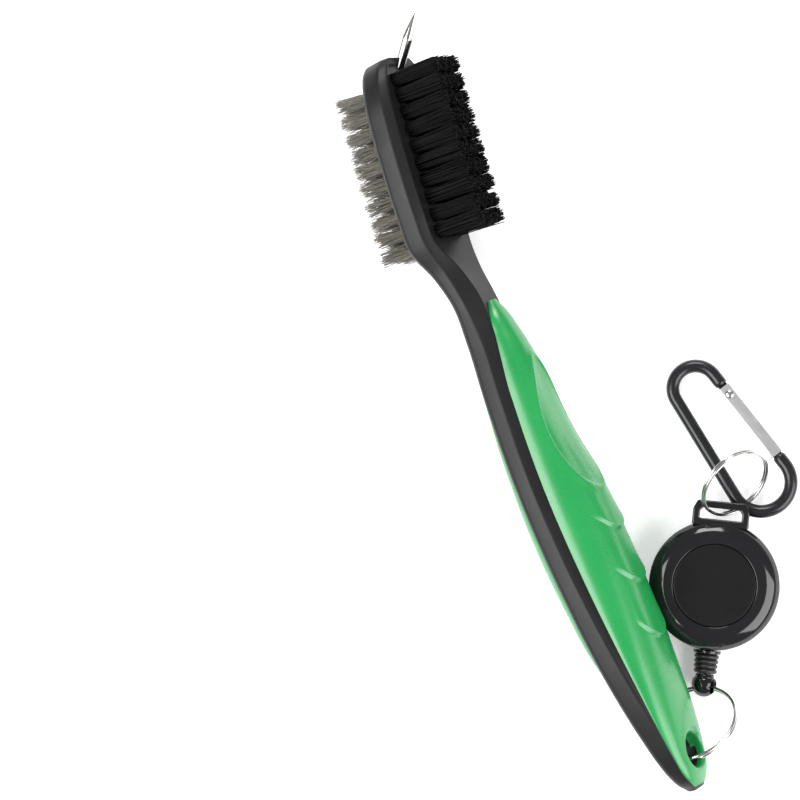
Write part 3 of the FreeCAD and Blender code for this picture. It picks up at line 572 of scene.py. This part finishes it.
def tuft_row(kind, row, level, away, start, pitch, length, strands, radius, splay, waver, sides, finish, floor_gap):
    """Filaments of one row of tufts.  Roots fill a disc of each tuft (radius times the square root of an even
    number), and a filament's tip lies splay times further out, with a seeded waver and a small spread of lengths.
    Sides are a filament's radius and the corners of its section."""
    count = TUFTS * strands
    tuft = np.repeat(np.arange(TUFTS), strands)
    out = radius * np.sqrt(rng.random(count))
    angle = rng.random(count) * 2 * math.pi
    root = np.stack([out * np.cos(angle), out * np.sin(angle)], axis=-1)
    lean = rng.normal(size=(TUFTS, 2))[tuft] * waver * 0.6
    tip = root * splay + lean + rng.normal(size=(count, 2)) * waver
    reach = length * (1 - 0.045 * rng.random(count) - 0.03 * (out / radius) ** 2)
    t = np.linspace(0, 1, 6)
    bow = rng.normal(size=(count, 1, 2)) * waver * 0.45 * (t * (1 - t) * 4)[:, None]
    flat = root[:, None] + (tip - root)[:, None] * (t ** 1.4)[:, None] + bow
    middle = np.stack([np.full(count, (row - 1.5) * ROW_PITCH), start + pitch * tuft], axis=-1)
    flat = flat + middle[:, None]
    height = level + away * (reach[:, None] * t - 0.8 * (1 - t))
    paths = np.concatenate([flat, height[..., None]], axis=-1)
    world = placed(paths.reshape(-1, 3), HEAD).reshape(paths.shape)
    # a filament that would touch the table is shortened to end above it
    low_point = world[:, -1, 2]
    base = world[:, 0, 2]
    share = np.clip((base - floor_gap) / np.maximum(base - low_point, 1e-6), 0.2, 1)
    share = np.where(low_point < floor_gap, share, 1.0)
    paths = paths[:, :1] + (paths - paths[:, :1]) * share[:, None, None]
    shell = swept(paths, circle(sides[0], sides[1]), (0.3, 1.0, 0.0), np.array([1, 1, 1, 1, 1, 0.8]))
    name = f"{kind}_row_{row + 1}"
    thing = piece(name, [shell], HEAD, "brush", finish, (f"{kind}_tufts_row_{row + 1}",), sharp=80)


for row in range(4):
    tuft_row("nylon", row, HEAD_DEPTH, 1, 3.1, 4.4, 12.9, 96, 1.75, 1.22, 0.15, (0.14, 5), nylon_black, 0.3)
    tuft_row("wire", row, 0.0, -1, 1.2, 4.4, 11.0, 80, 1.5, 1.35, 0.42, (0.08, 4), wire_steel, 0.15)


# ---------------------------------------------------------------- groove spike
def groove_spike():
    """A turned pin: a shank that widens a little to a shoulder, then a long cone with a blunt point."""
    root, cone_end = -1.6, 14.1
    height = np.array([root, 0.0, 3.0, 6.6, 7.4, 8.0, 8.9, 10.5, 12.7, cone_end])
    radius = np.array([1.32, 1.32, 1.38, 1.52, 1.55, 1.50, 1.36, 1.04, 0.54, 0.18])
    at = np.linspace(root, cone_end, 60)
    shank = np.stack([np.interp(at, height, radius), at], axis=-1)
    point = [(0.135, 14.3), (0.10, 14.45), (0.06, 14.55), (0.0, 14.6)]
    outline = np.concatenate([[(0.0, root)], shank, point])
    thing = piece("groove_pin", [lathe(outline, 48, False)], SPIKE, "brush", spike_steel, ("groove_spike",), sharp=60)


groove_spike()

# ---------------------------------------------------------------- split rings
RING_WIRE = 0.4


def split_ring(name, node, mean, matrix, body):
    """A wire wound twice round: radius constant, height stepping from one turn to the next in the gap between
    the wire's two ends, which are 0.7 radians apart.  Each end tapers in its last 0.12 radians."""
    gap = 0.35
    angle = np.linspace(gap, 4 * math.pi - gap, 420)
    step = np.clip((angle - (2 * math.pi - gap)) / (2 * gap), 0, 1)
    height = 0.92 * RING_WIRE * (2 * step * step * (3 - 2 * step) - 1)
    path = np.stack([mean * np.cos(angle), mean * np.sin(angle), height], axis=-1)
    from_end = np.minimum(angle - gap, 4 * math.pi - gap - angle)
    taper = 0.55 + 0.45 * np.clip(from_end / 0.12, 0, 1) ** 0.5
    thing = piece(name, [swept(path[None], circle(RING_WIRE, 14), (0.0, 0.0, 1.0), taper)], matrix, body,
                  ring_chrome, (node,), sharp=60)


split_ring("tail_ring", "tail_split_ring", TAIL_RING_MEAN, TAIL_RING, "tail_ring")
split_ring("top_ring", "top_split_ring", TOP_RING_MEAN, TOP_RING, "top_ring")

# ---------------------------------------------------------------- reel
REEL_RADIUS, REEL_DEPTH, SPLIT, WALL = 16.1, 10.6, 6.6, 1.5
INNER = REEL_RADIUS - WALL
DISC_RADIUS, DISC_LEVEL, BEVEL_INNER, LID, FLOOR = 10.2, 9.7, 12.2, 1.3, 1.2


def reel_covers():
    """Outlines turned about the reel's axis.  The front cover's bevel is crowned by about 0.5, both covers have
    eased edges that leave a fine groove at the seam, and the back cover has a shallow groove near its rim."""
    along = np.linspace(0, 1, 15)[:, None]
    shoulder, crest = np.array([REEL_RADIUS, 8.0]), np.array([BEVEL_INNER + 0.2, REEL_DEPTH])
    bulge = np.array([0.5, 0.8]) * 0.55
    bevel = shoulder + (crest - shoulder) * along + bulge * np.sin(math.pi * along) ** 0.9
    outer = np.concatenate([rounded([(INNER, SPLIT), (REEL_RADIUS, SPLIT + 0.06), shoulder], 0.28, 5, False), bevel,
                            rounded([crest, (DISC_RADIUS + 0.1, REEL_DEPTH - 0.02), (DISC_RADIUS + 0.1, DISC_LEVEL),
                                     (8.6, DISC_LEVEL), (8.6, DISC_LEVEL - LID), (INNER, DISC_LEVEL - LID)],
                                    0.30, 6, False)])
    thing = piece("reel_front", [lathe(outer, 192)], REEL, "reel", reel_gloss, ("reel_front_cover",), sharp=42)
    screw = 1.5                                   # radius of the hole for the screw
    back = rounded([(screw, 0.35), (screw + 0.5, 0.0), (12.4, 0.0), (12.4, 0.25), (13.0, 0.25), (13.0, 0.0),
                    (REEL_RADIUS - 1.4, 0.0), (REEL_RADIUS, 1.4), (REEL_RADIUS, SPLIT - 0.06),
                    (INNER, SPLIT), (INNER, FLOOR), (screw, FLOOR)], 0.30, 5)
    thing = piece("reel_back", [lathe(back, 192)], REEL, "reel", reel_gloss, ("reel_back_cover",), sharp=42)
    disc = rounded([(0.0, DISC_LEVEL - 0.05), (DISC_RADIUS - 0.05, DISC_LEVEL - 0.05), (DISC_RADIUS - 0.05, 10.28),
                    (DISC_RADIUS - 0.7, 10.34), (0.0, 10.30)], 0.22, 6, False)
    thing = piece("reel_face", [lathe(disc, 160, False)], REEL, "reel", reel_disc, ("reel_face_disc",), sharp=42)


def reel_bail():
    """The loop the ring hangs on: a closed outline with sloped corners, and the same outline drawn in by the
    bar's width on every side.  The section's first number is the share of the way from the outer outline to
    the inner one, and its second the share of the depth."""
    left, low_side, reach, bar, depth = -7.0, 14.6, 20.9, 1.8, 2.4
    corners = [(left, low_side), (-left, low_side), (-left, reach - 2.2), (-left - 1.0, reach), (left + 1.0, reach),
               (left, reach - 2.2)]
    line = rounded(corners, 0.6, 7)
    middle = np.array([0.0, (low_side + reach) / 2])
    inside = middle + (line - middle) * [1 + bar / left, 1 - bar / ((reach - low_side) / 2)]
    section = rounded([(0, 0), (1, 0), (1, 1), (0, 1)], 0.22, 4)
    share, level = section[:, :1], section[:, 1:]
    flat = line + (inside - line) * share[:, None]
    height = SPLIT + depth * level[:, None] + 0 * line[:, :1]
    points = np.concatenate([flat, height], axis=-1)
    thing = piece("reel_bail", [(points.reshape(-1, 3), grid_faces(len(section), len(line), True, True))], REEL,
                  "reel", reel_gloss, sharp=50)


def slotted_screw():
    """The screw end seen in the back cover: a low crowned head with a cross slot pressed in."""
    head = rounded([(0.0, 0.30), (0.5, 0.28), (1.42, 0.42), (1.42, 8.1), (0.0, 8.1)], 0.15, 4, False)
    thing = piece("reel_pin", [lathe(head, 48, False)], REEL, None, spring_steel)
    for degrees in (0, 90):
        bar = np.array([(-0.16, -0.5), (0.16, -0.5), (0.16, 0.62), (-0.16, 0.62)])
        path = np.column_stack([np.linspace(-0.95, 0.95, 5), np.zeros(5), np.zeros(5)])
        cut(thing, swept(path[None], bar, (0.0, 0.0, 1.0)), REEL @ turn("Z", degrees + 20.0), 38)
    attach(thing, "reel")
    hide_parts("reel_screw")


reel_covers()
reel_bail()
slotted_screw()

# ---------------------------------------------------------------- cord end: bushing, boot, ball
BUSHING_END, BOOT_RADIUS, BOOT_LENGTH = REEL_RADIUS + 1.0, 3.1, 5.0
BOOT_END = BUSHING_END + 0.1 + BOOT_LENGTH
BALL_RADIUS = 3.1
BALL_CENTRE = BOOT_END + BALL_RADIUS - 0.5
CORD_RADIUS = 0.45


def bushing_and_boot():
    """The bushing is a flared collar.  The boot's radius is a run of four rounded ribs, 0.62 high: the outside
    follows the root of |sin| between a root and a crest, and it tapers by 0.25 to the ball."""
    collar = rounded([(0.8, REEL_RADIUS - 2.0), (1.6, REEL_RADIUS - 2.0), (1.6, REEL_RADIUS + 0.12),
                      (3.5, REEL_RADIUS + 0.12), (3.35, BUSHING_END - 0.02), (0.8, BUSHING_END - 0.02)], 0.22, 5)
    thing = piece("outlet_collar", [lathe(collar, 64)], LINE, "reel", reel_gloss, ("outlet_bushing",), sharp=45)
    ribs, rib_height, taper = 4, 0.62, 0.25
    share = np.linspace(0, 1, 130)
    crest = np.abs(np.sin(math.pi * ribs * share)) ** 0.5
    radius = BOOT_RADIUS - rib_height + rib_height * crest - taper * share
    outside = np.column_stack([radius, BUSHING_END + 0.12 + share * (BOOT_LENGTH - 0.2)])
    bore = CORD_RADIUS + 0.02
    outline = np.concatenate([[(bore, BUSHING_END + 0.12)], outside, [(bore, BOOT_END - 0.1)]])
    thing = piece("ribbed_boot", [lathe(outline, 72)], LINE, "pull_end", boot_rubber, ("strain_boot",), sharp=60)


def pull_ball():
    """A sphere with a short neck towards the boot and, across it, the eye the ring passes through."""
    angle = np.linspace(0, math.pi, 70)
    sphere = np.column_stack([BALL_RADIUS * np.sin(angle), BALL_CENTRE + BALL_RADIUS * np.cos(angle)])
    neck = [(2.35, BOOT_END + 0.9), (2.30, BOOT_END + 0.15), (2.1, BOOT_END - 0.02), (0.5, BOOT_END - 0.02)]
    sphere = sphere[(sphere[:, 1] > BOOT_END + 0.95)]
    outline = np.concatenate([sphere, neck, [(0.0, BOOT_END - 0.02)]])
    outline[0, 0] = 0.0
    thing = piece("ball_with_eye", [lathe(outline, 72, False)], LINE, None, reel_gloss, sharp=50)
    centre = placed(np.array([0.0, 0.0, BALL_CENTRE]), LINE)
    ring_z = TAIL_RING[:3, 2]
    away = centre - TAIL_RING[:3, 3]
    away = away - ring_z * (away @ ring_z)
    away /= np.linalg.norm(away)
    along_wire = np.cross(ring_z, away)
    eye = np.eye(4)
    eye[:3, :3] = np.stack([away, np.cross(along_wire, away), along_wire], axis=1)
    eye[:3, 3] = TAIL_RING[:3, 3] + away * TAIL_RING_MEAN
    flared = [(0.0, -6.0), (2.6, -6.0), (2.2, -3.2), (1.6, -2.2), (1.45, -1.2), (1.45, 1.2), (1.6, 2.2), (2.2, 3.2),
              (2.6, 6.0), (0.0, 6.0)]
    cut(thing, lathe(flared, 48, False), eye, 50)
    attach(thing, "pull_end")
    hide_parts("pull_ball")


def cord_stub():
    """The cord between the ball and the spool, a straight tube along the line out of the reel."""
    start, steps = 12.9, 60
    path = np.column_stack([np.zeros(steps), np.zeros(steps), np.linspace(start, BALL_CENTRE - 2.0, steps)])
    thing = piece("cord_run", [swept(path[None], circle(CORD_RADIUS, 16), (1.0, 0.0, 0.0))], LINE, None, cord_nylon,
                  sharp=80)
    layer = thing.data.uv_layers.new(name="weave")
    corners = np.zeros(len(thing.data.loops), np.int64)
    thing.data.loops.foreach_get("vertex_index", corners)
    points = np.array([vertex.co for vertex in thing.data.vertices]) / MM
    local = (points - LINE[:3, 3]) @ LINE[:3, :3]
    around = np.arctan2(local[:, 1], local[:, 0]) / (2 * math.pi) + 0.5
    weave = np.stack([around, local[:, 2] / 0.8], axis=-1)[corners]
    layer.data.foreach_set("uv", weave.astype(np.float32).ravel())
    tuple(placed(np.array([0, 0, 22.0]), LINE) * MM)
    tuple(placed(np.array([0, 0, 14.0]), LINE) * MM)
    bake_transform(thing)
    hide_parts("zip_cord")


bushing_and_boot()
pull_ball()
cord_stub()

# ---------------------------------------------------------------- carabiner
ROD, TOP_BEND, LOW_BEND, BEND_GAP = 1.65, 5.7, 7.4, 28.6
HINGE_ALONG, GATE_END, GATE_WIDTH, RIVET_RADIUS, TONGUE = 6.5, 25.6, 3.3, 0.75, 1.2
FLARE = math.asin((LOW_BEND - TOP_BEND) / BEND_GAP)
DOWN = np.array([math.sin(FLARE), -math.cos(FLARE)])
SIDE = np.array([math.cos(FLARE), math.sin(FLARE)])
RIVET = SIDE * TOP_BEND + DOWN * HINGE_ALONG
GATE = CARABINER @ shift(RIVET[0], RIVET[1], 0) @ turn("Z", math.degrees(FLARE))


def arc(centre, radius, start, end, steps):
    angle = np.linspace(start, end, steps)
    return np.column_stack([centre[0] + radius * np.cos(angle), centre[1] + radius * np.sin(angle)])


def carabiner_rod():
    """A round rod bent round two arcs joined by tangents.  Each end necks down over its last millimetre to a
    flat tongue that the gate's channel closes over."""
    gate_top = SIDE * TOP_BEND
    shoulder, nose = HINGE_ALONG - 3.1, GATE_END + 0.25
    low = np.array([0.0, -BEND_GAP])
    left = np.array([-math.cos(FLARE), math.sin(FLARE)])
    straight = np.linspace(left * TOP_BEND, low + left * LOW_BEND, 30)[1:-1]
    first = gate_top + np.outer(np.linspace(shoulder, 0.3, 8), DOWN)
    last = np.linspace(low + SIDE * LOW_BEND, gate_top + nose * DOWN, 8)[1:]
    line = np.concatenate([first, arc((0, 0), TOP_BEND, FLARE, math.pi - FLARE, 48), straight,
                           arc(low, LOW_BEND, math.pi - FLARE, 2 * math.pi + FLARE, 72), last])
    path = np.column_stack([line, np.zeros(len(line))])
    scale = np.ones(len(path))
    scale[0], scale[1], scale[-1], scale[-2] = 0.80, 0.96, 0.80, 0.96
    shells = [swept(path[None], circle(ROD, 40), (0.0, 0.0, 1.0), scale)]
    flat = rounded([(-1.2, -TONGUE / 2), (1.2, -TONGUE / 2), (1.2, TONGUE / 2), (-1.2, TONGUE / 2)], 0.25, 4)
    for begin, end in ((shoulder - 0.6, HINGE_ALONG), (GATE_END - 2.4, nose + 0.6)):
        line = gate_top + np.outer(np.linspace(begin, end, 8), DOWN)
        shells.append(swept(np.column_stack([line, np.zeros(8)])[None], flat, (0.0, 0.0, 1.0)))
    disc, faces = lathe(rounded([(0.0, -TONGUE / 2), (1.2, -TONGUE / 2), (1.2, TONGUE / 2), (0.0, TONGUE / 2)], 0.2, 4,
                                False), 32, False)
    shells.append((disc + [RIVET[0], RIVET[1], 0.0], faces))
    thing = piece("carabiner_rod", shells, CARABINER, "carabiner", carabiner_black, ("carabiner_body",), sharp=45)


def carabiner_gate():
    """A pressed channel: a rounded back, two legs open towards the inside, and a lower leg 0.35 longer."""
    half, wall, longer = GATE_WIDTH / 2, 0.42, 0.35
    inside = -half
    outline = rounded([(inside, half), (half, half), (half, -half), (inside - longer, -half),
                       (inside - longer, -half + wall), (half - wall, -half + wall), (half - wall, half - wall),
                       (inside, half - wall)], 0.85, 7)
    path = np.column_stack([np.zeros(40), np.linspace(2.4, HINGE_ALONG - GATE_END, 40), np.zeros(40)])
    thing = piece("carabiner_latch", [channel(path, outline)], GATE, "gate", gate_aluminium, ("carabiner_gate",),
                  sharp=40)


def channel(path, outline):
    """The outline carried straight along the path, its two ends closed by strips between facing outline points."""
    along = np.broadcast_to(path[:, None, 1], (len(path), len(outline)))
    points = np.stack([path[:, None, 0] + outline[:, 0], along, path[:, None, 2] + outline[:, 1]], axis=-1)
    rows, columns = points.shape[:2]
    faces = grid_faces(rows, columns, False, True)
    half = columns // 2
    near = np.arange(half)
    facing = columns - 1 - near
    caps = np.stack([near[:-1], near[1:], facing[1:], facing[:-1]], axis=-1)
    return points.reshape(-1, 3), np.concatenate([faces, caps, caps + (rows - 1) * columns])


def rivet_and_spring():
    """The rivet has a domed head proud of each leg.  The spring is a helix of fine wire inside the channel."""
    half = GATE_WIDTH / 2
    dome = [(0.0, -half - 0.38), (0.6, -half - 0.32), (1.05, -half - 0.10), (1.12, -half + 0.02),
            (RIVET_RADIUS, -half + 0.04)]
    outline = np.array(dome + [(radius, -height) for radius, height in reversed(dome)])
    thing = piece("hinge_rivet", [lathe(outline, 40, False)], CARABINER @ shift(RIVET[0], RIVET[1], 0), "carabiner",
                  spring_steel, ("gate_rivet",), sharp=60)
    coils, radius, start, length = 15, 0.58, -3.2, 7.6
    angle = np.linspace(0, 2 * math.pi * coils, coils * 20)
    coil = np.column_stack([radius * np.cos(angle), start - angle / angle[-1] * length, radius * np.sin(angle)])
    thing = piece("latch_spring", [swept(coil[None], circle(0.14, 8), (0.0, 1.0, 0.0))], GATE, "carabiner",
                  spring_steel, ("gate_spring",), sharp=80)


carabiner_rod()
carabiner_gate()
rivet_and_spring()


# ---------------------------------------------------------------- floor, light and camera
def floor_and_light():
    """A pale floor that glows a little, three soft boxes and a grey surround, in metres."""
    half = 3.0
    mesh = bpy.data.meshes.new("floor")
    mesh.from_pydata([(-half, -half, 0), (half, -half, 0), (half, half, 0), (-half, half, 0)], [], [(0, 1, 2, 3)])
    floor = bpy.data.objects.new("floor", mesh)
    bpy.context.scene.collection.objects.link(floor)
    paper = Finish("paper", Roughness=0.9, Specular_IOR_Level=0.1, Emission_Strength=0.30)
    paper.feed(Base_Color=paper.mix(paper.noise(0.4, 3.0), colour(0.90, 0.90, 0.90), colour(0.93, 0.93, 0.93)),
               Emission_Color=colour(1.0, 1.0, 1.0))
    mesh.materials.append(paper.material)
    world = bpy.data.worlds.new("surround")
    bpy.context.scene.world = world
    world.use_nodes = True
    world.node_tree.nodes["Background"].inputs["Color"].default_value = colour(1.0, 1.0, 1.0)
    world.node_tree.nodes["Background"].inputs["Strength"].default_value = 0.32
    # name, place, aim, width, height, watts
    boxes = [("left_box", (-0.46, 0.03, 0.50), (0.0, 0.0, 0.01), 0.55, 0.50, 6.0),
             ("right_box", (0.38, -0.42, 0.40), (0.0, -0.03, 0.01), 0.60, 0.52, 5.5),
             ("far_box", (0.30, 0.75, 0.60), (0.0, 0.0, 0.01), 0.40, 0.40, 5.0)]
    for name, place, aim, width, height, watts in boxes:
        light = bpy.data.lights.new(name, "AREA")
        light.shape, light.size, light.size_y, light.energy = "RECTANGLE", width, height, watts
        lamp = bpy.data.objects.new(name, light)
        bpy.context.scene.collection.objects.link(lamp)
        lamp.location = place
        lamp.rotation_mode = "QUATERNION"
        lamp.rotation_quaternion = (Vector(aim) - Vector(place)).to_track_quat("-Z", "Y")


AZIMUTH, ELEVATION, ROLL = 37.4, 83.2, -59.6      # degrees; azimuth 0 looks along +Y
AIM = Vector((-0.04745, 0.01443, 0.008))
DISTANCE = 0.5622
LENS, SENSOR = 100.0, 36.0                        # millimetres


def camera():
    """Looks at AIM from DISTANCE away, turned about its own line of sight by ROLL."""
    azimuth, elevation, roll = (math.radians(angle) for angle in (AZIMUTH, ELEVATION, ROLL))
    back = Vector((math.sin(azimuth) * math.cos(elevation), -math.cos(azimuth) * math.cos(elevation),
                   math.sin(elevation)))
    right = Vector((math.cos(azimuth), math.sin(azimuth), 0))
    up = back.cross(right)
    right, up = right * math.cos(roll) + up * math.sin(roll), up * math.cos(roll) - right * math.sin(roll)
    data = bpy.data.cameras.new("camera")
    data.lens, data.sensor_width = LENS, SENSOR
    data.clip_start, data.clip_end = 0.01, 20.0
    eye = bpy.data.objects.new("camera", data)
    bpy.context.scene.collection.objects.link(eye)
    eye.rotation_mode = "QUATERNION"
    eye.location = AIM + back * DISTANCE
    eye.rotation_quaternion = Matrix((right, up, back)).transposed().to_quaternion()
    bpy.context.scene.camera = eye


floor_and_light()
camera()
bpy.context.scene.view_settings.view_transform = "Standard"
